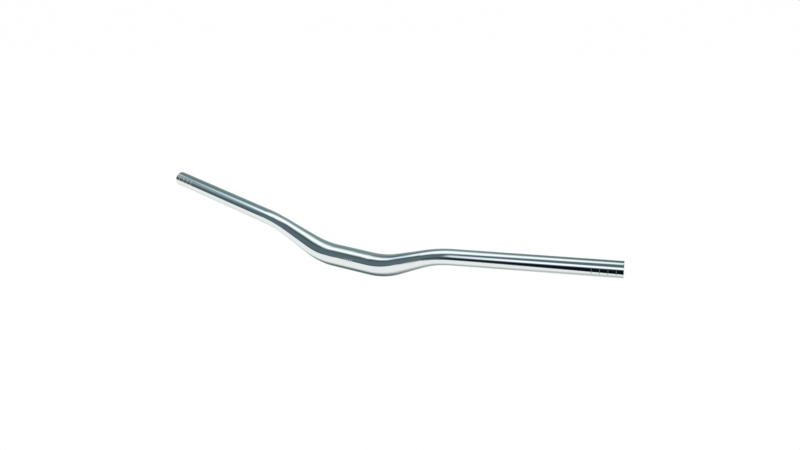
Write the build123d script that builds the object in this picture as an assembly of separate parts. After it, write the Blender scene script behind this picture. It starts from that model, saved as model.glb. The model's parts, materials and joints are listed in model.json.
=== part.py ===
from build123d import *
import os
from math import radians, tan

# A riser handlebar: one drawn aluminium tube, thick at the clamp and slim at the grips, bent four
# times. Millimetres and degrees. The origin is the middle of the clamp seat, +X runs along the bar,
# +Y points back to the rider and +Z up.

# Overall form
BAR_WIDTH = 720.0  # between the centres of the two cut ends
SEAT_LENGTH = 58.0  # straight stretch that the stem holds
RISE_ANGLE = 23.0  # first bend, straight up from the seat
RISE_BEND_RADIUS = 106.0  # on the centre line
RISE_STRAIGHT = 43.0  # straight stretch between the two bends
BACKSWEEP = 13.0  # of the grip, seen from above
UPSWEEP = 2.5  # of the grip, above the level
SWEEP_BEND_RADIUS = 96.0  # on the centre line

# Tube section
CLAMP_DIAMETER = 31.8
GRIP_DIAMETER = 22.2
CLAMP_WALL = 2.4
GRIP_WALL = 2.0
TAPER_LEAD = 6.0  # full clamp diameter past the end of the seat
TAPER_LENGTH = 103.0  # along the centre line, from the clamp diameter to the grip diameter
TAPER_SECTIONS = 17  # round sections that the bent and tapered stretch passes through
EDGE_BREAK = 0.4  # chamfer on the rims of the cut ends

# Derived directions and lengths
RISE_DIRECTION = Vector(1, 0, 0).rotate(Axis.Y, -RISE_ANGLE)
GRIP_DIRECTION = Vector(1, 0, 0).rotate(Axis.Y, -UPSWEEP).rotate(Axis.Z, BACKSWEEP)
SWEEP_ANGLE = RISE_DIRECTION.get_angle(GRIP_DIRECTION)
RISE_BEND_LENGTH = RISE_BEND_RADIUS * radians(RISE_ANGLE)
SWEEP_BEND_LENGTH = SWEEP_BEND_RADIUS * radians(SWEEP_ANGLE)

# Places along the centre line, from the middle of the seat
SEAT_END = SEAT_LENGTH / 2
BENDS_END = SEAT_END + RISE_BEND_LENGTH + RISE_STRAIGHT + SWEEP_BEND_LENGTH
TAPER_START = SEAT_END + TAPER_LEAD
TAPER_END = TAPER_START + TAPER_LENGTH
GRIP_START = max(BENDS_END, TAPER_END)


def centre_line():
    """The bar's axis from the middle of the seat to the centre of the +X end."""
    rise_tangent = RISE_BEND_RADIUS * tan(radians(RISE_ANGLE / 2))
    sweep_tangent = SWEEP_BEND_RADIUS * tan(radians(SWEEP_ANGLE / 2))
    rise_corner = Vector(SEAT_END + rise_tangent, 0, 0)
    sweep_corner = rise_corner + RISE_DIRECTION * (rise_tangent + RISE_STRAIGHT + sweep_tangent)
    grip_run = (BAR_WIDTH / 2 - sweep_corner.X) / GRIP_DIRECTION.X
    bar_end = sweep_corner + GRIP_DIRECTION * grip_run
    bends = [RISE_BEND_RADIUS, SWEEP_BEND_RADIUS]
    return FilletPolyline((0, 0, 0), rise_corner, sweep_corner, bar_end, radius=bends)


def taper_share(distance):
    """How much of the taper lies behind a point of the centre line: 0 at the clamp, 1 at the grip."""
    share = min(max((distance - TAPER_START) / TAPER_LENGTH, 0), 1)
    return share * share * (3 - 2 * share)


def square_plane(path, distance):
    """The plane square to the centre line at a distance along it."""
    tangent = path.tangent_at(distance, position_mode=PositionMode.LENGTH)
    centre = path.position_at(distance, position_mode=PositionMode.LENGTH)
    return Plane(origin=centre, x_dir=tangent.cross(Vector(0, 0, 1)), z_dir=tangent)


def round_section(path, distance, clamp_diameter, grip_diameter):
    """The round section of the bar at a distance along its centre line."""
    diameter = clamp_diameter + (grip_diameter - clamp_diameter) * taper_share(distance)
    return square_plane(path, distance) * Circle(diameter / 2)


def arm(path, clamp_diameter, grip_diameter):
    """One side of a solid bar: the bent and tapered stretch, then the straight grip."""
    step = (GRIP_START - SEAT_END) / (TAPER_SECTIONS - 1)
    distances = [SEAT_END + step * i for i in range(TAPER_SECTIONS)]
    bent = loft([round_section(path, d, clamp_diameter, grip_diameter) for d in distances])
    upward = (Align.CENTER, Align.CENTER, Align.MIN)
    grip = Cylinder(grip_diameter / 2, path.length - GRIP_START, align=upward)
    return bent + square_plane(path, GRIP_START) * grip


def solid_bar(path, clamp_diameter, grip_diameter):
    """The whole bar as a solid rod of the given diameters."""
    seat = Cylinder(clamp_diameter / 2, SEAT_LENGTH, rotation=(0, 90, 0))
    right = arm(path, clamp_diameter, grip_diameter)
    return seat + right + mirror(right, about=Plane.YZ)


def handlebar():
    """The bent tube: an outer form, less the bore that the wall leaves, with broken rims."""
    path = centre_line()
    outer = solid_bar(path, CLAMP_DIAMETER, GRIP_DIAMETER)
    bore = solid_bar(path, CLAMP_DIAMETER - 2 * CLAMP_WALL, GRIP_DIAMETER - 2 * GRIP_WALL)
    tube = outer - bore
    cut_ends = tube.faces().filter_by(GeomType.PLANE)
    return chamfer(cut_ends.edges(), EDGE_BREAK)


os.makedirs("parts", exist_ok=True)
export_step(handlebar(), "parts/handlebar.step")
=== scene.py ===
import json
from math import cos, pi, radians, sin, tan

import bmesh
import bpy
from bpy.props import (
    FloatProperty,
    FloatVectorProperty,
    IntProperty,
    PointerProperty,
)
from bpy.types import Operator, Panel, PropertyGroup
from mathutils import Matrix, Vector


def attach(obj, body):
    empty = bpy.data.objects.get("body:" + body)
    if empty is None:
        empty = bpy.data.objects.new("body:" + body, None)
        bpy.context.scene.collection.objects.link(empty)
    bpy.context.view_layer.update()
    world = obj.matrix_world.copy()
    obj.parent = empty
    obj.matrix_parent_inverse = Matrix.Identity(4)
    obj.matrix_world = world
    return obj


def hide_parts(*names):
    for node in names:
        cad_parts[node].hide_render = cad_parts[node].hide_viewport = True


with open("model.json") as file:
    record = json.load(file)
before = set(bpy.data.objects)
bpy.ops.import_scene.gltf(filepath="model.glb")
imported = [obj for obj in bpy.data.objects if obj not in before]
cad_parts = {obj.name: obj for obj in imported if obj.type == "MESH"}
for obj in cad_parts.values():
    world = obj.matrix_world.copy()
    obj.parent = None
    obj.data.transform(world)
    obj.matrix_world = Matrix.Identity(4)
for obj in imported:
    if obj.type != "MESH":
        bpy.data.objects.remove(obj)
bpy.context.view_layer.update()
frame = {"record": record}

bl_info = {
    "name": "Riser Handlebar",
    "version": (1, 0, 0),
    "blender": (4, 5, 0),
    "location": "View3D > Sidebar > Handlebar",
    "description": "A polished riser handlebar with etched marks, in a white studio",
    "category": "Add Mesh",
}

# The frame: +X along the clamp seat to the rider's left, +Y back to the rider, +Z up. Metres.
MM = 0.001
BODY = "root"
NODE = "handlebar"

MOUNTS = {mount["name"]: mount for mount in frame["record"]["mounts"]}
SEAT = MOUNTS["clamp_seat"]["dims"]
GRIP = MOUNTS["left_grip_seat"]["dims"]
BORE = MOUNTS["left_end_bore"]["dims"]

# Fineness of the meshes
TUBE_SEGMENTS = 96
BEND_STEPS = 48
RIM_SEGMENTS = 3
MARK_SEGMENTS = 14

# A face belongs to a cut end if the cosine of its angle to the end's direction is above this
END_FACE_COSINE = 0.999

# The attribute that says where a point of the tube would lie if the tube were straight
STRAIGHT = "straight_tube"

# Roughness that the drawn grain, the clouds, the rubs and the dull inside bring to the polished metal
GRAIN_ROUGHNESS = 0.05
CLOUD_ROUGHNESS = 0.03
RUB_ROUGHNESS = 0.12
BORE_ROUGHNESS = 0.45

# Grains of frost on the etched lines, per metre, and where along X the lines turn darker: painted
# shade, for the less light that falls on the +X end
FROST_SCALE = 9000
PAINTED_SHADE_FROM, PAINTED_SHADE_TO = 0.1, 0.2


def length(name, default, description):
    """A length in metres that the sidebar can change."""
    return FloatProperty(
        name=name, description=description, default=default, min=0, subtype="DISTANCE", precision=4
    )


def angle(name, degrees, description):
    """An angle that the sidebar can change, given here in degrees."""
    return FloatProperty(
        name=name, description=description, default=radians(degrees), subtype="ANGLE"
    )


def colour(name, default, description):
    """A linear colour that the sidebar can change. A light's may go past 1."""
    return FloatVectorProperty(
        name=name, description=description, default=default, min=0, soft_max=1, subtype="COLOR"
    )


def strength(name, default, description):
    """The brightness of a studio card, where 1 shows as white."""
    return FloatProperty(name=name, description=description, default=default, min=0)


def place(name, default, description):
    """A point in the frame that the sidebar can change."""
    return FloatVectorProperty(
        name=name, description=description, default=default, subtype="TRANSLATION"
    )


class BarSizes(PropertyGroup):
    """The bends and the section of the tube."""

    width: length("Width", 720 * MM, "Between the centres of the two cut ends")
    seat_length: length("Seat length", SEAT["length_mm"] * MM, "Straight stretch in the stem")
    rise_angle: angle("Rise", 23, "First bend, straight up from the seat")
    rise_bend_radius: length("Rise bend radius", 106 * MM, "On the tube's axis")
    rise_straight: length("Rise straight", 43 * MM, "Straight stretch between the two bends")
    backsweep: angle("Backsweep", 13, "Of the grip, seen from above")
    upsweep: angle("Upsweep", 2.5, "Of the grip, above the level")
    sweep_bend_radius: length("Sweep bend radius", 96 * MM, "On the tube's axis")
    clamp_radius: length("Clamp radius", SEAT["r_mm"] * MM, "Outer radius of the clamp seat")
    grip_radius: length("Grip radius", GRIP["r_mm"] * MM, "Outer radius of the grips")
    clamp_wall: length("Clamp wall", 2.4 * MM, "Wall at the clamp seat")
    grip_wall: length("Grip wall", (GRIP["r_mm"] - BORE["r_mm"]) * MM, "Wall at the grips")
    taper_lead: length("Taper lead", 6 * MM, "Full clamp diameter past the end of the seat")
    taper_length: length("Taper length", 103 * MM, "From clamp to grip, along the axis")
    edge_break: length("Edge break", 0.4 * MM, "Rounding on the rims of the cut ends")
    ring_spacing: length("Ring spacing", 2.2 * MM, "Between the rings of faces along the tube")


class MarkSizes(PropertyGroup):
    """The fine lines etched on the tube: cut marks by the ends, centre marks on the seat."""

    cut_count: IntProperty(name="Cut marks", description="At each end", default=4, min=1)
    cut_first: length("First cut mark", 9.2 * MM, "From the cut end")
    cut_pitch: length("Cut pitch", 10 * MM, "Between two cut marks")
    cut_sweep: angle("Cut sweep", 46, "How far a cut mark reaches round the grip")
    left_turn: angle("Left turn", 1.5, "Middle of the +X side's cut marks, up from dead ahead")
    right_turn: angle("Right turn", 29, "Middle of the -X side's cut marks, up from dead ahead")
    centre_count: IntProperty(name="Centre marks", description="On the seat", default=5, min=1)
    centre_pitch: length("Centre pitch", 3 * MM, "Between two centre marks")
    centre_sweep: angle("Centre sweep", 16, "How far a centre mark reaches round the seat")
    centre_turn: angle("Centre turn", 16, "Middle of the centre marks, up from dead ahead")
    line_width: length("Line width", 0.7 * MM, "Of every etched line")
    proud: length("Proud", 0.03 * MM, "How far a line stands out of the tube")
    sunk: length("Sunk", 0.12 * MM, "How far a line goes into the tube")


class BarFinish(PropertyGroup):
    """Colours and gloss."""

    aluminium: colour("Aluminium", (0.79, 0.84, 0.83), "Polished metal")
    raw: colour("Raw", (0.56, 0.57, 0.57), "Dull metal inside the tube")
    etched: colour("Etched", (0.7, 0.73, 0.73), "Frosted lines by the -X end and on the seat")
    # Painted shade: the +X end's lines get a darker colour for the less light that falls there
    etched_painted_shade: colour("Etched, dark", (0.25, 0.26, 0.27), "Darker lines by the +X end")
    polish: FloatProperty(
        name="Polish",
        description="Roughness of the metal",
        default=0.045,
        min=0,
        max=1,
        subtype="FACTOR",
    )


class StudioLook(PropertyGroup):
    """The white ground, the room that the metal mirrors, and the camera."""

    floor_drop: length("Floor drop", 300 * MM, "From the tube's axis at the clamp to the floor")
    floor_colour: colour("Floor", (0.95, 0.95, 0.95), "Paper under the bar")
    room_low: colour("Room, low", (0.126, 0.171, 0.185), "Walls in front, near the floor")
    room_high: colour("Room, high", (0.101, 0.156, 0.187), "Walls in front, near the ceiling")
    back_low: colour("Back, low", (0.322, 0.403, 0.419), "Wall behind, near the floor")
    back_high: colour("Back, high", (0.235, 0.322, 0.325), "Wall behind, near the ceiling")
    flag: colour("Flags", (0.004, 0.006, 0.011), "Black cards")
    dim: colour("Dim card", (0.086, 0.118, 0.133), "Dark grey card")
    white: colour("White card", (0.975, 0.998, 0.996), "Card in front of the clamp")
    pale: colour("Bend card", (1, 1, 1), "Small card close in front of the +X rise")
    overhead: strength("Overhead", 1.3, "Large soft light above, and the small ones")
    overhead_tone: colour("Overhead tone", (0.941, 0.974, 1.001), "Large soft light above")
    overhead_end: colour("Overhead end", (1.006, 1.202, 1.254), "The same light at its -X end")
    small_tone: colour("Small tone", (0.94, 0.97, 1), "Small lights close over the bar")
    spill: strength("Spill", 0.4, "Dim screen on the -X side")
    spill_tone: colour("Spill tone", (0.691, 0.908, 0.997), "Dim screen on the -X side")
    window: strength("Window", 1.3, "Soft light above the camera")
    window_tone: colour("Window tone", (0.904, 0.919, 0.98), "Soft light above the camera")
    dark_floor: colour("Dark floor", (0.131, 0.152, 0.16), "Dark part of the floor in front")
    # Painted shadows of the bar on the floor, seen in the metal alone: grey under the grips, dark
    # under the clamp
    streaks: colour("Streaks", (0.57, 0.593, 0.579), "Grey on the floor under the grips")
    spot: colour("Spot", (0.118, 0.169, 0.169), "Dark on the floor under the clamp")
    fill: strength("Fill", 1.0, "Even light on matt surfaces")
    lens: FloatProperty(name="Lens", description="Focal length, mm", default=35.594, min=1)
    camera_place: place("Camera", (0.53404, -0.85385, 0.47101), "Where it stands")
    camera_aim: place("Aim", (0.0486, 0.0472, 0.04439), "Where it looks")


class Output:
    """An output of a node. Arithmetic on it adds Math nodes to its tree."""

    def __init__(self, nodes, socket):
        self.nodes = nodes
        self.socket = socket

    def math(self, operation, *others):
        """This output goes into the first socket of a Math node, the others into the next ones."""
        return self.nodes.maths(operation, self, *others)

    def __add__(self, other):
        return self.math("ADD", other)

    def __radd__(self, other):
        return self.nodes.maths("ADD", other, self)

    def __sub__(self, other):
        return self.math("SUBTRACT", other)

    def __rsub__(self, other):
        return self.nodes.maths("SUBTRACT", other, self)

    def __mul__(self, other):
        return self.math("MULTIPLY", other)

    def __rmul__(self, other):
        return self.nodes.maths("MULTIPLY", other, self)

    def __truediv__(self, other):
        return self.math("DIVIDE", other)

    def __rtruediv__(self, other):
        return self.nodes.maths("DIVIDE", other, self)

    def __abs__(self):
        return self.math("ABSOLUTE")

    def smooth(self, low, high):
        """0 below low, 1 above high, and a soft step between them."""
        settings = {"interpolation_type": "SMOOTHSTEP"}
        sockets = {"Value": self, "From Min": low, "From Max": high}
        return self.nodes.add("ShaderNodeMapRange", settings, sockets)["Result"]

    def between(self, start, full, fade, end):
        """0 below start, 1 from full to fade, 0 above end, and soft steps between them."""
        return self.smooth(start, full) * (1 - self.smooth(fade, end))


class Nodes:
    """A node tree that is being built: a material, the world or a Geometry Nodes group."""

    def __init__(self, tree):
        self.tree = tree

    def add(self, kind, settings=None, sockets=None):
        """Adds a node, makes its settings, then gives its sockets values or links. A list of links
        goes to one socket that takes several. Returns the outputs by name."""
        node = self.tree.nodes.new(kind)
        for name, value in (settings or {}).items():
            if name == "stops":
                self.set_stops(node.color_ramp.elements, value)
            else:
                setattr(node, name, value)
        inputs = [socket for socket in node.inputs if socket.enabled]
        for key, value in (sockets or {}).items():
            socket = inputs[key] if isinstance(key, int) else self.named(inputs, key)
            links = value if isinstance(value, list) else [value]
            for link in links:
                if isinstance(link, Output):
                    self.tree.links.new(link.socket, socket)
                else:
                    socket.default_value = link
        shown = [socket for socket in node.outputs if socket.enabled]
        return {socket.name: Output(self, socket) for socket in reversed(shown)}

    @staticmethod
    def named(sockets, name):
        """The first of these sockets that has this name."""
        return next(socket for socket in sockets if socket.name == name)

    @staticmethod
    def set_stops(elements, stops):
        """Gives a ramp its stops: the place and the colour of each."""
        while len(elements) < len(stops):
            elements.new(1)
        for element, (position, shade) in zip(elements, stops):
            element.position = position
            element.color = (*shade, 1)

    def maths(self, operation, *operands):
        """The result of a Math node."""
        settings = {"operation": operation}
        return self.add("ShaderNodeMath", settings, dict(enumerate(operands)))["Value"]

    def vector(self, x, y, z):
        """A vector from its three values."""
        return self.add("ShaderNodeCombineXYZ", {}, {"X": x, "Y": y, "Z": z})["Vector"]

    def parts(self, vector):
        """The three values of a vector, by name."""
        return self.add("ShaderNodeSeparateXYZ", {}, {"Vector": vector})

    def blend(self, factor, first, second):
        """A colour that passes from the first to the second."""
        sockets = {"Factor": factor, "A": first, "B": second}
        return self.add("ShaderNodeMix", {"data_type": "RGBA"}, sockets)["Result"]

    def store(self, geometry, name, value, kind="FLOAT"):
        """The geometry with a value kept on its points, in Geometry Nodes."""
        settings = {"data_type": kind, "domain": "POINT"}
        sockets = {"Geometry": geometry, "Name": name, "Value": value}
        return self.add("GeometryNodeStoreNamedAttribute", settings, sockets)["Geometry"]

    def stored(self, name, kind="FLOAT"):
        """A value that was kept on the points, in Geometry Nodes."""
        settings = {"data_type": kind}
        return self.add("GeometryNodeInputNamedAttribute", settings, {"Name": name})["Attribute"]

    def end(self, geometry, material):
        """Ends a Geometry Nodes group with real geometry that has its material."""
        real = self.add("GeometryNodeRealizeInstances", {}, {"Geometry": geometry})["Geometry"]
        done = self.add("GeometryNodeSetMaterial", {}, {"Geometry": real, "Material": material})
        self.add("NodeGroupOutput", {}, {"Geometry": done["Geometry"]})


def new_material(name):
    """An empty material and the builder of its nodes."""
    material = bpy.data.materials.new(name)
    material.use_nodes = True
    material.node_tree.nodes.clear()
    return material, Nodes(material.node_tree)


def new_tree(name, inputs):
    """A Geometry Nodes group with these named inputs after its geometry."""
    tree = bpy.data.node_groups.new(name, "GeometryNodeTree")
    tree.interface.new_socket("Geometry", in_out="OUTPUT", socket_type="NodeSocketGeometry")
    tree.interface.new_socket("Geometry", in_out="INPUT", socket_type="NodeSocketGeometry")
    for label, kind in inputs.items():
        tree.interface.new_socket(label, in_out="INPUT", socket_type="NodeSocket" + kind)
    return Nodes(tree)


def grow(name, start, nodes, values):
    """The piece that a Geometry Nodes group makes from a starting mesh, as a plain mesh object."""
    piece = bpy.data.objects.new(name, start)
    modifier = piece.modifiers.new("Shape", "NODES")
    modifier.node_group = nodes.tree
    for item in nodes.tree.interface.items_tree:
        if item.in_out == "INPUT" and item.name in values:
            modifier[item.identifier] = values[item.name]
    bpy.context.scene.collection.objects.link(piece)
    depsgraph = bpy.context.evaluated_depsgraph_get()
    made = bpy.data.meshes.new_from_object(
        piece.evaluated_get(depsgraph), preserve_all_data_layers=True, depsgraph=depsgraph
    )
    piece.modifiers.clear()
    piece.data = made
    made.name = name
    bpy.data.meshes.remove(start)
    return piece


def settle(piece, *replaced):
    """Puts a finished piece on the bar's one body, in the place of the nodes that it stands for."""
    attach(piece, BODY)
    if replaced:
        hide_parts(*replaced)


# The tube


def grip_direction(bar):
    """The way the +X side's grip points, from the bends to its end."""
    level = cos(bar.upsweep)
    return Vector((level * cos(bar.backsweep), level * sin(bar.backsweep), sin(bar.upsweep)))


def axis_corners(bar):
    """The six corners of the tube's axis, from the -X end to the +X end, before it is bent."""
    rise = Vector((cos(bar.rise_angle), 0, sin(bar.rise_angle)))
    grip = grip_direction(bar)
    rise_tangent = bar.rise_bend_radius * tan(bar.rise_angle / 2)
    sweep_tangent = bar.sweep_bend_radius * tan(rise.angle(grip) / 2)
    rise_corner = Vector((bar.seat_length / 2 + rise_tangent, 0, 0))
    sweep_corner = rise_corner + rise * (rise_tangent + bar.rise_straight + sweep_tangent)
    end = sweep_corner + grip * ((bar.width / 2 - sweep_corner.x) / grip.x)
    half = [rise_corner, sweep_corner, end]
    return [Vector((-corner.x, corner.y, corner.z)) for corner in reversed(half)] + half


def tube_tree():
    """Bends an axis of straight runs and grows the tapered tube around it, inside and out."""
    nodes = new_tree(
        "Bent tube",
        {
            "Rise bend radius": "Float",
            "Sweep bend radius": "Float",
            "Clamp radius": "Float",
            "Grip radius": "Float",
            "Clamp wall": "Float",
            "Grip wall": "Float",
            "Taper start": "Float",
            "Taper end": "Float",
            "Ring spacing": "Float",
            "Segments": "Int",
            "Bend steps": "Int",
            "Material": "Material",
        },
    )
    size = nodes.add("NodeGroupInput")
    runs = nodes.add("GeometryNodeMeshToCurve", {}, {"Mesh": size["Geometry"]})

    # Of the corners 0 to 5, the two next to the seat, 2 and 3, are the rise, the outer two the sweep
    index = nodes.add("GeometryNodeInputIndex")["Index"]
    outer_corner = abs(index - 2.5).math("GREATER_THAN", 1)
    bend_radius = (
        size["Rise bend radius"] * (1 - outer_corner) + size["Sweep bend radius"] * outer_corner
    )
    bent = nodes.add(
        "GeometryNodeFilletCurve",
        {"mode": "POLY"},
        {"Curve": runs["Curve"], "Count": size["Bend steps"], "Radius": bend_radius},
    )
    axis = nodes.add(
        "GeometryNodeResampleCurve",
        {"mode": "LENGTH"},
        {"Curve": bent["Curve"], "Length": size["Ring spacing"]},
    )

    # How far a point lies from the middle of the seat, and how much of the taper is behind it
    here = nodes.add("GeometryNodeSplineParameter")["Length"]
    whole = nodes.add("GeometryNodeSplineLength")["Length"]
    from_middle = here - whole * 0.5
    share = abs(from_middle).smooth(size["Taper start"], size["Taper end"])
    axis = nodes.store(axis["Curve"], "along", from_middle)
    ring = nodes.add(
        "GeometryNodeCurvePrimitiveCircle", {}, {"Resolution": size["Segments"], "Radius": 1.0}
    )
    turn = nodes.add("GeometryNodeSplineParameter")["Factor"] * (2 * pi)
    ring = nodes.store(ring["Curve"], "turn", turn)
    along, around = nodes.stored("along"), nodes.stored("turn")

    def skin(clamp_radius, grip_radius):
        """A wall of the tube. Its points keep where they would lie on a straight tube, for a finish
        that follows the bends."""
        radius = clamp_radius + (grip_radius - clamp_radius) * share
        wall = nodes.add(
            "GeometryNodeCurveToMesh", {}, {"Curve": axis, "Profile Curve": ring, "Scale": radius}
        )
        straight = nodes.vector(
            along, around.math("COSINE") * clamp_radius, around.math("SINE") * clamp_radius
        )
        return nodes.store(wall["Mesh"], STRAIGHT, straight, "FLOAT_VECTOR")

    outside = skin(size["Clamp radius"], size["Grip radius"])
    inside = skin(size["Clamp radius"] - size["Clamp wall"], size["Grip radius"] - size["Grip wall"])
    inside = nodes.add("GeometryNodeFlipFaces", {}, {"Mesh": inside})["Mesh"]
    kept = nodes.add("GeometryNodeJoinGeometry", {}, {"Geometry": [outside, inside]})["Geometry"]
    for name in ("along", "turn"):
        kept = nodes.add(
            "GeometryNodeRemoveAttribute", {}, {"Geometry": kept, "Name": name}
        )["Geometry"]
    smooth = nodes.add("GeometryNodeSetShadeSmooth", {}, {"Geometry": kept})
    nodes.end(smooth["Geometry"], size["Material"])
    return nodes


def close_ends(mesh, edge_break, end_direction):
    """Joins the outer and the inner wall at both cut ends, and rounds the rims."""
    work = bmesh.new()
    work.from_mesh(mesh)
    rims = [edge for edge in work.edges if edge.is_boundary]
    for side in (-1, 1):
        bmesh.ops.bridge_loops(work, edges=[rim for rim in rims if rim.verts[0].co.x * side > 0])
    bmesh.ops.bevel(
        work,
        geom=rims,
        offset=edge_break,
        offset_type="OFFSET",
        segments=RIM_SEGMENTS,
        profile=0.5,
        affect="EDGES",
    )
    for face in work.faces:
        face.smooth = True
        outward = Vector((abs(face.normal.x), face.normal.y, face.normal.z))
        if outward.dot(end_direction) > END_FACE_COSINE:
            face.smooth = False
            for edge in face.edges:
                edge.smooth = False
    work.to_mesh(mesh)
    work.free()


def polished_aluminium(finish, bar):
    """Mirror-bright metal with a drawn grain that runs along the tube and faint handling wear. The
    inside of the tube is left dull."""
    material, shade = new_material("polished_aluminium")
    straight = shade.add("ShaderNodeAttribute", {"attribute_name": STRAIGHT})["Vector"]

    def grain(along, around, detail, seed):
        """Noise with a size along the tube and a size around it, both in millimetres."""
        scale = (1 / (along * MM), 1 / (around * MM), 1 / (around * MM))
        mapped = shade.add("ShaderNodeMapping", {}, {"Vector": straight, "Scale": scale})
        settings = {"noise_dimensions": "4D"}
        sockets = {"Vector": mapped["Vector"], "W": seed, "Scale": 1.0, "Detail": detail}
        return shade.add("ShaderNodeTexNoise", settings, sockets)["Fac"]

    drawn = grain(along=60, around=0.8, detail=3, seed=1)
    clouds = grain(along=45, around=18, detail=2, seed=2)
    scuffs = grain(along=9, around=0.25, detail=1, seed=3)
    waves = grain(along=26, around=9, detail=1, seed=4)
    rubs = scuffs.smooth(0.66, 0.74) * clouds.smooth(0.45, 0.7)

    # A straight tube's walls keep their radii at the clamp, so the metal turns dull between the two
    part = shade.parts(straight)
    from_axis = (part["Y"] * part["Y"] + part["Z"] * part["Z"]).math("SQRT")
    inner = bar.clamp_radius - bar.clamp_wall
    bore = 1 - from_axis.smooth(inner + bar.clamp_wall * 0.1, inner + bar.clamp_wall * 0.4)

    base = Vector(finish.aluminium)
    tone = shade.blend(clouds, (*(base * 0.975), 1), (*(base * 1.02), 1))
    tone = shade.blend(bore, tone, (*finish.raw, 1))
    roughness = (
        finish.polish
        + (drawn - 0.5) * GRAIN_ROUGHNESS
        + clouds.smooth(0.5, 0.8) * CLOUD_ROUGHNESS
        + rubs * RUB_ROUGHNESS
        + bore * BORE_ROUGHNESS
    )
    ripple = shade.add(
        "ShaderNodeBump", {}, {"Strength": 0.05, "Distance": 0.2 * MM, "Height": waves}
    )
    relief = shade.add(
        "ShaderNodeBump",
        {},
        {
            "Strength": 0.03,
            "Distance": 0.02 * MM,
            "Height": drawn - rubs * 0.4,
            "Normal": ripple["Normal"],
        },
    )
    metal = shade.add(
        "ShaderNodeBsdfPrincipled",
        {},
        {
            "Base Color": tone,
            "Metallic": 1 - bore * 0.6,
            "Roughness": roughness,
            "Normal": relief["Normal"],
        },
    )
    shade.add("ShaderNodeOutputMaterial", {}, {"Surface": metal["BSDF"]})
    return material


class HANDLEBAR_OT_tube(Operator):
    """Bends and tapers the tube, closes its ends and polishes it"""

    bl_idname = "handlebar.tube"
    bl_label = "Tube"

    def execute(self, context):
        bar = context.scene.handlebar_sizes
        if bar.rise_angle <= 0 or bar.grip_wall >= bar.grip_radius:
            raise ValueError("the tube needs a bend to rise by and a wall thinner than its radius")
        taper_start = bar.seat_length / 2 + bar.taper_lead
        corners = axis_corners(bar)
        axis = bpy.data.meshes.new("axis")
        axis.from_pydata(corners, [(i, i + 1) for i in range(len(corners) - 1)], [])
        tube = grow(
            "tube",
            axis,
            tube_tree(),
            {
                "Rise bend radius": bar.rise_bend_radius,
                "Sweep bend radius": bar.sweep_bend_radius,
                "Clamp radius": bar.clamp_radius,
                "Grip radius": bar.grip_radius,
                "Clamp wall": bar.clamp_wall,
                "Grip wall": bar.grip_wall,
                "Taper start": taper_start,
                "Taper end": taper_start + bar.taper_length,
                "Ring spacing": bar.ring_spacing,
                "Segments": TUBE_SEGMENTS,
                "Bend steps": BEND_STEPS,
                "Material": polished_aluminium(context.scene.handlebar_finish, bar),
            },
        )
        close_ends(tube.data, bar.edge_break, grip_direction(bar))
        settle(tube, NODE)
        return {"FINISHED"}


# The etched marks


def marks_tree():
    """Repeats a thin curved line along the tube from each starting point."""
    nodes = new_tree(
        "Etched lines",
        {
            "Count": "Int",
            "First": "Float",
            "Pitch": "Float",
            "Tube radius": "Float",
            "Sweep": "Float",
            "Line width": "Float",
            "Proud": "Float",
            "Sunk": "Float",
            "Segments": "Int",
            "Material": "Material",
        },
    )
    size = nodes.add("NodeGroupInput")
    run, facing = nodes.stored("run", "FLOAT_VECTOR"), nodes.stored("facing", "FLOAT_VECTOR")

    # A flat bar, wrapped round the tube: its X becomes the turn, its Z the distance from the axis
    flat_size = nodes.vector(size["Sweep"], size["Line width"], size["Proud"] + size["Sunk"])
    flat = nodes.add(
        "GeometryNodeMeshCube", {}, {"Size": flat_size, "Vertices X": size["Segments"]}
    )
    spot = nodes.parts(nodes.add("GeometryNodeInputPosition")["Position"])
    reach = size["Tube radius"] + (size["Proud"] - size["Sunk"]) * 0.5 + spot["Z"]
    wrapped = nodes.vector(
        reach * spot["X"].math("COSINE"), reach * spot["X"].math("SINE"), spot["Y"]
    )
    line = nodes.add(
        "GeometryNodeSetPosition", {}, {"Geometry": flat["Mesh"], "Position": wrapped}
    )

    copies = nodes.add(
        "GeometryNodeDuplicateElements",
        {"domain": "POINT"},
        {"Geometry": size["Geometry"], "Amount": size["Count"]},
    )
    step = nodes.add(
        "ShaderNodeVectorMath",
        {"operation": "SCALE"},
        {"Vector": run, "Scale": size["First"] + size["Pitch"] * copies["Duplicate Index"]},
    )
    points = nodes.add(
        "GeometryNodeSetPosition", {}, {"Geometry": copies["Geometry"], "Offset": step["Vector"]}
    )
    turned = nodes.add(
        "FunctionNodeAxesToRotation",
        {"primary_axis": "Z", "secondary_axis": "X"},
        {"Primary Axis": run, "Secondary Axis": facing},
    )
    lines = nodes.add(
        "GeometryNodeInstanceOnPoints",
        {},
        {"Points": points["Geometry"], "Instance": line["Geometry"], "Rotation": turned["Rotation"]},
    )
    nodes.end(lines["Instances"], size["Material"])
    return nodes


def mark_starts(name, starts):
    """A mesh of loose points, each with the way its lines run and the way they face."""
    mesh = bpy.data.meshes.new(name)
    mesh.from_pydata([point for point, run, facing in starts], [], [])
    for attribute, column in (("run", 1), ("facing", 2)):
        data = mesh.attributes.new(attribute, "FLOAT_VECTOR", "POINT").data
        for item, start in zip(data, starts):
            item.vector = start[column]
    return mesh


def facing_front(turn):
    """The direction dead ahead of the bar, tipped up by an angle."""
    return Vector((0, -cos(turn), sin(turn)))


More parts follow.
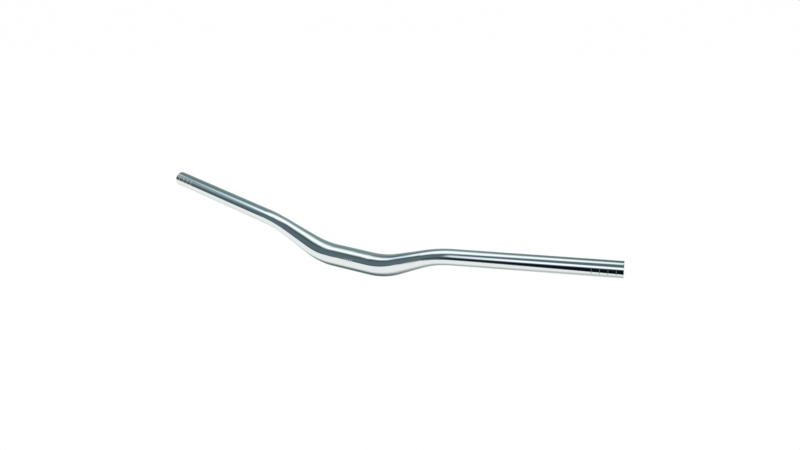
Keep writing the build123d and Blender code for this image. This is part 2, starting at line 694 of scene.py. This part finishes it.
def etched_lines(finish):
    """Matt, frosted metal: the lines that a laser leaves. By the +X end their colour turns darker, a
    painted shade for the less light that falls there.
    """
    material, shade = new_material("etched_lines")
    spot = shade.add("ShaderNodeTexCoord")["Object"]
    frost = shade.add(
        "ShaderNodeTexNoise", {}, {"Vector": spot, "Scale": FROST_SCALE, "Detail": 2.0}
    )["Fac"]
    # Painted shade: towards +X the lines take a darker colour and more metal, for the less light that
    # falls on that end
    darker = shade.parts(spot)["X"].smooth(PAINTED_SHADE_FROM, PAINTED_SHADE_TO)
    base = Vector(finish.etched)
    tone = shade.blend(frost, (*(base * 0.85), 1), (*(base * 1.12), 1))
    tone = shade.blend(darker, tone, (*finish.etched_painted_shade, 1))
    matt = shade.add(
        "ShaderNodeBsdfPrincipled",
        {},
        {"Base Color": tone, "Metallic": 0.35 + darker * 0.25, "Roughness": 0.3 + frost * 0.12},
    )
    shade.add("ShaderNodeOutputMaterial", {}, {"Surface": matt["BSDF"]})
    return material


class HANDLEBAR_OT_marks(Operator):
    """Etches the cut marks by both ends and the centre marks on the clamp seat"""

    bl_idname = "handlebar.marks"
    bl_label = "Etched marks"

    def execute(self, context):
        bar = context.scene.handlebar_sizes
        marks = context.scene.handlebar_marks
        corners = axis_corners(bar)
        inward = -grip_direction(bar)
        mirrored = Vector((-inward.x, inward.y, inward.z))
        nodes = marks_tree()
        line = {
            "Line width": marks.line_width,
            "Proud": marks.proud,
            "Sunk": marks.sunk,
            "Segments": MARK_SEGMENTS,
            "Material": etched_lines(context.scene.handlebar_finish),
        }
        cut_marks = grow(
            "cut_marks",
            mark_starts(
                "ends",
                [
                    (corners[-1], inward, facing_front(marks.left_turn)),
                    (corners[0], mirrored, facing_front(marks.right_turn)),
                ],
            ),
            nodes,
            line
            | {
                "Count": marks.cut_count,
                "First": marks.cut_first,
                "Pitch": marks.cut_pitch,
                "Tube radius": bar.grip_radius,
                "Sweep": marks.cut_sweep,
            },
        )
        settle(cut_marks)
        centre_marks = grow(
            "centre_marks",
            mark_starts("middle", [(Vector(), Vector((1, 0, 0)), facing_front(marks.centre_turn))]),
            nodes,
            line
            | {
                "Count": marks.centre_count,
                "First": -marks.centre_pitch * (marks.centre_count - 1) / 2,
                "Pitch": marks.centre_pitch,
                "Tube radius": bar.clamp_radius,
                "Sweep": marks.centre_sweep,
            },
        )
        settle(centre_marks)
        return {"FINISHED"}


# The studio

# The camera's sensor, in millimetres as the lens is
SENSOR_WIDTH = 36

# The round room and its floor
ROOM_RADIUS = 6.5
ROOM_SEGMENTS = 48
ROOM_RINGS = 24
FLOOR_CORNERS = 64

# How much of the paper's white is its own where it is seen. The rest is lit, and shows the shadow.
PAPER_GLOW = 0.9

# How far the cards on the floor lie above it, and above each other
FLOOR_GAP = 1 * MM

# Cards that stand around the bar. Azimuths are from dead ahead, towards +X, in degrees.
SPILL = {"azimuths": (-68.2, -106), "elevations": (20, 40.9), "distance": 3.0}
WINDOW = {"azimuths": (-22, 36), "elevations": (20.4, 49.6), "distance": 2.6}
FLAG_AHEAD = {"azimuths": (-30, 40), "elevations": (-8, 13.8), "distance": 2.4}
DIM_LEFT = {"azimuths": (-60.4, -80), "elevations": (-5.3, 18.4), "distance": 3.2}

# Below, a card's reach along an axis is where it starts and ends. Where four places are given, it
# starts at the first, shows fully from the second to the third, and ends at the fourth.

# The overhead light lies flat but for a slope along X and one along Y. Its front edge is given by X
# and by Y there, and is soft by a distance to both sides.
OVERHEAD = {"x": (-3.2, 2.5), "y": (-1.5, 2.8), "height": 2.284}
OVERHEAD_SLOPE = (0.064, 0.158)
OVERHEAD_FRONT = [
    (-2.6, -0.3), (-2.1, -0.7), (-1.7, -0.78), (-1.35, -0.64), (-1.05, -0.87),
    (-0.75, -0.69), (-0.45, -0.59), (-0.15, -0.48), (0.15, -0.06), (0.6, 0.64),
]
OVERHEAD_SOFTNESS = 0.54

# Where along X the light passes from the tone of its -X end to its main tone
OVERHEAD_TURN = (-2.27, -2.11)

# Cards that stand square to Y, and where along X the bend card turns black
BACK_CARD = {"x": (-1.5, 0.8), "z": (0, 1.15), "depth": 0.6}
BEND_CARD = {"x": (0.012, 0.03, 0.075, 0.1), "z": (-0.05, 0.09), "depth": -0.12}
BEND_CARD_TURN = (0.0375, 0.0505)

# A white card that stands in front of the clamp, on the -X side: X and Z of its corners
NEAR_CARD_DEPTH = -0.52
NEAR_CARD = [
    (-0.352, -0.29), (-0.352, -0.1), (-0.335, 0), (-0.312, 0.042), (-0.28, 0.036), (-0.245, 0.02),
    (-0.215, 0.024), (-0.19, 0.005), (-0.165, -0.1), (-0.165, -0.29),
]

# Small lights and dark veils that lie flat, close over the bar
OVER_BEND = {"x": (-0.1, -0.045, 0.1, 0.16), "y": (-0.15, 0.02), "height": 0.18}
OVER_FAR_BEND = {"x": (-0.34, -0.25, -0.165, -0.1), "y": (-0.1, 0.04), "height": 0.18}
OVER_RISE = {"x": (-0.008, 0.016, 0.03, 0.048), "y": (-0.055, 0.04), "height": 0.1}
RISE_VEIL = {"x": (-0.048, -0.036, -0.027, -0.014), "y": (-0.085, 0.06), "height": 0.1}
OVER_TIP = {"x": (-0.72, -0.43), "y": (-0.1, 0.13), "height": 0.18}
OVER_SEAT = {"x": (-0.19, -0.085, -0.085, -0.06), "y": (-0.16, -0.13, -0.1, -0.05), "height": 0.179}

# Cards on the floor. The dark part has its corners' X and Y given, and where along X it turns black.
DARK_FLOOR = [
    (-1.14, -2.7), (-0.52, -1.45), (-0.21, -1.13), (0, -0.99), (0.24, -1.06), (0.35, -0.68),
    (0.48, -0.285), (1.6, -0.285), (2, -2.7),
]
DARK_FLOOR_TURN = (0.25, 0.51)
# Painted shadows of the bar, seen in the metal alone: a grey one under the grips, a dark one under
# the clamp
GRIP_SHADOW = {"x": (-1.0, 0.75), "y": (-0.22, 0.31)}
CLAMP_SHADOW = {"x": (-0.55, 0.3), "y": (-0.25, 0.36)}


def overhead_shape(x, y, z):
    """The overhead light: a front edge that follows its corners, and a slow fade behind and at both
    ends. A ramp holds 0 to 1, so the edge's Y goes in as a share of the way from -1 to 1."""
    start = OVERHEAD_FRONT[0][0]
    span = OVERHEAD_FRONT[-1][0] - start
    stops = [((across - start) / span, [(edge + 1) / 2] * 3) for across, edge in OVERHEAD_FRONT]
    ramp = x.nodes.add("ShaderNodeValToRGB", {"stops": stops}, {"Fac": (x - start) / span})["Color"]
    front = (y - (ramp * 2 - 1)).smooth(-OVERHEAD_SOFTNESS, OVERHEAD_SOFTNESS)
    behind = 1 - (y - x * 0.4).smooth(0.23, 2.33)
    return front * behind * x.between(-3.19, -2.13, 1.6, 2.3)


def spill_shape(x, y, z):
    """A screen with soft edges towards the front, above and below."""
    return z.between(1.1, 1.4, 2.38, 2.58) * y.smooth(-1.11, -0.93)


def window_shape(x, y, z):
    """A window with a very soft top and a very soft -X edge."""
    return x.smooth(-0.67, 0.46) * z.between(0.976, 1.046, 2.05, 3.04)


def flag_ahead_shape(x, y, z):
    """A black card that thins out towards -X and has a soft top."""
    return x.smooth(-2.01, 0.5) * (1 - z.smooth(0.437, 0.587))


def dim_left_shape(x, y, z):
    """A grey card to the camera's left, with a soft top and bottom."""
    return z.between(-0.39, -0.034, 0.72, 1.074)


def back_card_shape(x, y, z):
    """A thin dark veil behind the +X grip, and a fainter one behind the -X grip."""
    veil = x.smooth(-0.25, 0.45) * 0.62
    faint = x.between(-1.5, -1.2, -1.0, -0.5) * 0.16
    return (veil + faint) * (1 - z.smooth(0.85, 1.15))


def bend_card_shape(x, y, z):
    """A thin soft band that climbs towards +X."""
    band = 1 - abs(z - x * 0.7 + 0.019).smooth(0.006, 0.028)
    return band * x.between(*BEND_CARD["x"]) * 0.45


def over_bend_shape(x, y, z):
    """A small soft light over the +X bend, with a slanting front edge."""
    front = (y - x * 0.2).smooth(-0.125, -0.035)
    return front * (1 - y.smooth(-0.02, 0.02)) * x.between(*OVER_BEND["x"]) * 0.75


def over_far_bend_shape(x, y, z):
    """A small soft light over the -X bend, with a pointed front edge."""
    front = (y - abs(x + 0.235) * 0.25).smooth(-0.1, -0.03)
    return front * (1 - y.smooth(0, 0.04)) * x.between(*OVER_FAR_BEND["x"]) * 0.8


def over_rise_shape(x, y, z):
    """A small soft light low over the +X rise."""
    return (1 - abs(y + 0.008).smooth(0, 0.047)) * x.between(*OVER_RISE["x"]) * 0.5


def rise_veil_shape(x, y, z):
    """Two thin dark strips, before and behind the middle of the +X rise's highlight."""
    strips = abs(y + 0.012).between(0.006, 0.035, 0.05, 0.07)
    return strips * x.between(*RISE_VEIL["x"]) * 0.24


def over_tip_shape(x, y, z):
    """A faint soft light past the -X end, with a brighter streak along it."""
    streak = 1 - abs(y - 0.075).smooth(0, 0.055)
    ends = x.smooth(-0.72, -0.65) * (1 - (x - y * 0.75).smooth(-0.575, -0.52))
    return ends * (1 - y.smooth(0.085, 0.13)) * (streak * 0.23 + 0.09)


def over_seat_shape(x, y, z):
    """A thin dark veil over the seat, which sharpens the overhead light's front edge there."""
    return x.between(*OVER_SEAT["x"]) * y.between(*OVER_SEAT["y"]) * 0.45


def dark_floor_shape(x, y, z):
    """A dark part of the floor that thins out towards -X."""
    return x.smooth(-1.15, -0.5)


def grip_shadow_shape(x, y, z):
    """Painted shadow: a grey streak on the floor under the +X side, and a faint one under the -X
    side, where the grips' shadows fall.
    """
    streak = x.between(0.087, 0.174, 0.5, 0.7)
    faint = x.between(-1.0, -0.8, -0.5, -0.35) * 0.335
    return (1 - abs(y - 0.042).smooth(0.024, 0.251)) * (streak + faint)


def clamp_shadow_shape(x, y, z):
    """Painted shadow: a long dark spot on the floor, under the clamp, where the bar's shadow falls.
    """
    across, deep = (x + 0.112) * 0.725, y - 0.047
    return 1 - (across * across + deep * deep).math("SQRT").smooth(0.064, 0.275)


# The order of an oblong's corners: at which end of its first reach each is, and of its second
CORNERS = ((0, 0), (-1, 0), (-1, -1), (0, -1))


def lying(x, y, height):
    """The corners of a card that lies flat."""
    return [(x[i], y[j], height) for i, j in CORNERS]


def square_on(x, z, depth):
    """The corners of a card that stands square to Y."""
    return [(x[i], depth, z[j]) for i, j in CORNERS]


def standing(azimuths, elevations, distance):
    """The corners of a card that stands around the bar, from the directions in which they lie."""
    corners = []
    for i, j in CORNERS:
        azimuth, elevation = radians(azimuths[i]), radians(elevations[j])
        corners.append(
            (distance * sin(azimuth), -distance * cos(azimuth), distance * tan(elevation))
        )
    return corners


def stage_mesh(name, corners, material):
    """A piece of the studio: one flat face, or an empty mesh if it has no corners yet."""
    mesh = bpy.data.meshes.new(name)
    mesh.from_pydata(corners, [], [range(len(corners))] if corners else [])
    mesh.materials.append(material)
    piece = bpy.data.objects.new(name, mesh)
    bpy.context.scene.collection.objects.link(piece)
    return piece


def only_mirrored(piece):
    """Leaves a piece of the studio to be seen in the metal alone."""
    piece.visible_camera = False
    piece.visible_diffuse = False
    piece.visible_transmission = False
    piece.visible_volume_scatter = False
    piece.visible_shadow = False


def card_glow(name, tone, level, shape=None, second=None):
    """A bright or dark card. It shows only where its shape, a function of X, Y and Z, is near 1. It
    may pass into a second tone along X, given with where the change starts and ends."""
    material, shade = new_material(name)
    part = shade.parts(shade.add("ShaderNodeTexCoord")["Object"])
    paint = (*tone, 1)
    if second:
        other, start, end = second
        paint = shade.blend(part["X"].smooth(start, end), paint, (*other, 1))
    card = shade.add("ShaderNodeEmission", {}, {"Color": paint, "Strength": level})["Emission"]
    if shape:
        clear = shade.add("ShaderNodeBsdfTransparent")["BSDF"]
        shown = shape(part["X"], part["Y"], part["Z"])
        card = shade.add("ShaderNodeMixShader", {}, {0: shown, 1: clear, 2: card})["Shader"]
    shade.add("ShaderNodeOutputMaterial", {}, {"Surface": card})
    return material


def add_card(name, corners, tone, level=1.0, shape=None, second=None):
    """A card that is seen in the metal alone."""
    only_mirrored(stage_mesh(name, corners, card_glow(name, tone, level, shape, second)))


def seen(shade):
    """1 where the camera looks, straight, by a mirror or through glass, and 0 for other light."""
    path = shade.add("ShaderNodeLightPath")
    mirrored = path["Is Camera Ray"].math("MAXIMUM", path["Is Glossy Ray"])
    return mirrored.math("MAXIMUM", path["Is Transmission Ray"])


def paper(studio):
    """White ground: bright by itself where it is seen, with the bar's soft shadow on it."""
    material, shade = new_material("paper")
    matt = shade.add("ShaderNodeBsdfDiffuse", {}, {"Color": (*studio.floor_colour, 1)})
    white = shade.add("ShaderNodeEmission", {}, {"Color": (1, 1, 1, 1), "Strength": 1.0})
    ground = shade.add(
        "ShaderNodeMixShader",
        {},
        {0: seen(shade) * PAPER_GLOW, 1: matt["BSDF"], 2: white["Emission"]},
    )
    shade.add("ShaderNodeOutputMaterial", {}, {"Surface": ground["Shader"]})
    return material


def room_walls(studio):
    """The grey room around the set, lighter behind and darker above."""
    material, shade = new_material("room_walls")
    part = shade.parts(shade.add("ShaderNodeTexCoord")["Object"])
    height = part["Z"] / ROOM_RADIUS
    front = shade.blend(height.smooth(0.1, 0.75), (*studio.room_low, 1), (*studio.room_high, 1))
    back = shade.blend(height.smooth(0.243, 0.378), (*studio.back_low, 1), (*studio.back_high, 1))
    behind = (part["Y"] / ROOM_RADIUS).smooth(0.057, 0.816)
    tone = shade.blend(behind, front, back)
    wall = shade.add("ShaderNodeEmission", {}, {"Color": tone, "Strength": 1.0})
    shade.add("ShaderNodeOutputMaterial", {}, {"Surface": wall["Emission"]})
    return material


def add_room(studio):
    """The white floor, and the round room that the metal mirrors."""
    turns = [2 * pi * i / FLOOR_CORNERS for i in range(FLOOR_CORNERS)]
    rim = [(ROOM_RADIUS * cos(turn), ROOM_RADIUS * sin(turn), -studio.floor_drop) for turn in turns]
    stage_mesh("floor", rim, paper(studio))

    room = stage_mesh("room", [], room_walls(studio))
    dome = bmesh.new()
    bmesh.ops.create_uvsphere(
        dome, u_segments=ROOM_SEGMENTS, v_segments=ROOM_RINGS, radius=ROOM_RADIUS
    )
    dome.to_mesh(room.data)
    dome.free()
    only_mirrored(room)


def add_overhead(studio):
    """The large soft light above, which lights matt surfaces too."""
    soft = card_glow(
        "overhead",
        studio.overhead_end,
        studio.overhead,
        overhead_shape,
        second=(studio.overhead_tone, *OVERHEAD_TURN),
    )
    corners = [
        (x, y, height + OVERHEAD_SLOPE[0] * x + OVERHEAD_SLOPE[1] * y)
        for x, y, height in lying(**OVERHEAD)
    ]
    overhead = stage_mesh("overhead", corners, soft)
    overhead.visible_camera = False
    overhead.visible_shadow = False


def add_upright_cards(studio):
    """The lights and cards that stand around the bar, in front of it and behind it."""
    add_card("spill", standing(**SPILL), studio.spill_tone, studio.spill, spill_shape)
    add_card("window", standing(**WINDOW), studio.window_tone, studio.window, window_shape)
    add_card("flag_ahead", standing(**FLAG_AHEAD), studio.flag, shape=flag_ahead_shape)
    add_card("dim_left", standing(**DIM_LEFT), studio.dim, shape=dim_left_shape)
    add_card("near_card", [(x, NEAR_CARD_DEPTH, z) for x, z in NEAR_CARD], studio.white)
    add_card("back_card", square_on(**BACK_CARD), studio.flag, shape=back_card_shape)
    add_card(
        "bend_card",
        square_on(**BEND_CARD),
        studio.pale,
        shape=bend_card_shape,
        second=(studio.flag, *BEND_CARD_TURN),
    )


def add_small_lights(studio):
    """The small lights and dark veils that lie close over the bar."""
    light, veil = (studio.small_tone, studio.overhead), (studio.flag, 1.0)
    for name, reach, (tone, level), shape in (
        ("over_bend", OVER_BEND, light, over_bend_shape),
        ("over_far_bend", OVER_FAR_BEND, light, over_far_bend_shape),
        ("over_rise", OVER_RISE, light, over_rise_shape),
        ("rise_veil", RISE_VEIL, veil, rise_veil_shape),
        ("over_tip", OVER_TIP, light, over_tip_shape),
        ("over_seat", OVER_SEAT, veil, over_seat_shape),
    ):
        add_card(name, lying(**reach), tone, level, shape)


def add_floor_cards(studio):
    """The dark and grey cards on the floor: a dark part in front, and the bar's painted shadows under
    the grips and the clamp.
    """
    low = -studio.floor_drop + FLOOR_GAP
    add_card(
        "dark_floor",
        [(x, y, low) for x, y in DARK_FLOOR],
        studio.dark_floor,
        shape=dark_floor_shape,
        second=(studio.flag, *DARK_FLOOR_TURN),
    )
    # Painted shadows of the bar, seen in the metal alone
    add_card("under_grips", lying(**GRIP_SHADOW, height=low), studio.streaks, shape=grip_shadow_shape)
    above = low + FLOOR_GAP
    add_card("under_clamp", lying(**CLAMP_SHADOW, height=above), studio.spot, shape=clamp_shadow_shape)


def white_world(studio):
    """White where it is seen, and an even fill on matt surfaces."""
    world = bpy.data.worlds.new("studio")
    world.use_nodes = True
    world.node_tree.nodes.clear()
    shade = Nodes(world.node_tree)
    straight = seen(shade)
    sky = shade.add(
        "ShaderNodeBackground",
        {},
        {"Color": (1, 1, 1, 1), "Strength": straight + (1 - straight) * studio.fill},
    )
    shade.add("ShaderNodeOutputWorld", {}, {"Surface": sky["Background"]})
    return world


def add_camera(studio):
    """A level camera at the photograph's place."""
    data = bpy.data.cameras.new("camera")
    data.lens = studio.lens
    data.sensor_width = SENSOR_WIDTH
    camera = bpy.data.objects.new("camera", data)
    camera.location = studio.camera_place
    look = Vector(studio.camera_aim) - Vector(studio.camera_place)
    camera.rotation_euler = look.to_track_quat("-Z", "Y").to_euler()
    bpy.context.scene.collection.objects.link(camera)
    bpy.context.scene.camera = camera


class HANDLEBAR_OT_stage(Operator):
    """Lays the white ground, hangs the lights and cards, and sets the camera"""

    bl_idname = "handlebar.stage"
    bl_label = "Stage"

    def execute(self, context):
        studio = context.scene.handlebar_studio
        add_room(studio)
        add_overhead(studio)
        add_upright_cards(studio)
        add_small_lights(studio)
        add_floor_cards(studio)
        context.scene.world = white_world(studio)
        context.scene.view_settings.view_transform = "Standard"
        add_camera(studio)
        return {"FINISHED"}


class VIEW3D_PT_handlebar(Panel):
    """The handlebar's sizes, and what builds it"""

    bl_label = "Riser Handlebar"
    bl_idname = "VIEW3D_PT_handlebar"
    bl_space_type = "VIEW_3D"
    bl_region_type = "UI"
    bl_category = "Handlebar"

    def draw(self, context):
        for group, operator in STEPS:
            box = self.layout.box()
            settings = getattr(context.scene, group)
            for name in settings.__annotations__:
                box.prop(settings, name)
            if operator:
                box.operator(operator.bl_idname)


STEPS = (
    ("handlebar_finish", None),
    ("handlebar_sizes", HANDLEBAR_OT_tube),
    ("handlebar_marks", HANDLEBAR_OT_marks),
    ("handlebar_studio", HANDLEBAR_OT_stage),
)
GROUPS = {
    "handlebar_sizes": BarSizes,
    "handlebar_marks": MarkSizes,
    "handlebar_finish": BarFinish,
    "handlebar_studio": StudioLook,
}
CLASSES = (
    *GROUPS.values(),
    HANDLEBAR_OT_tube,
    HANDLEBAR_OT_marks,
    HANDLEBAR_OT_stage,
    VIEW3D_PT_handlebar,
)


def register():
    """Makes the classes known to Blender, and gives each scene the sizes and looks."""
    for kind in CLASSES:
        bpy.utils.register_class(kind)
    for name, group in GROUPS.items():
        setattr(bpy.types.Scene, name, PointerProperty(type=group))


def unregister():
    """Takes back what register did."""
    for name in GROUPS:
        delattr(bpy.types.Scene, name)
    for kind in reversed(CLASSES):
        bpy.utils.unregister_class(kind)


def main():
    """Builds the bar and its studio."""
    register()
    bpy.ops.handlebar.tube()
    bpy.ops.handlebar.marks()
    bpy.ops.handlebar.stage()


if __name__ == "__main__":
    main()
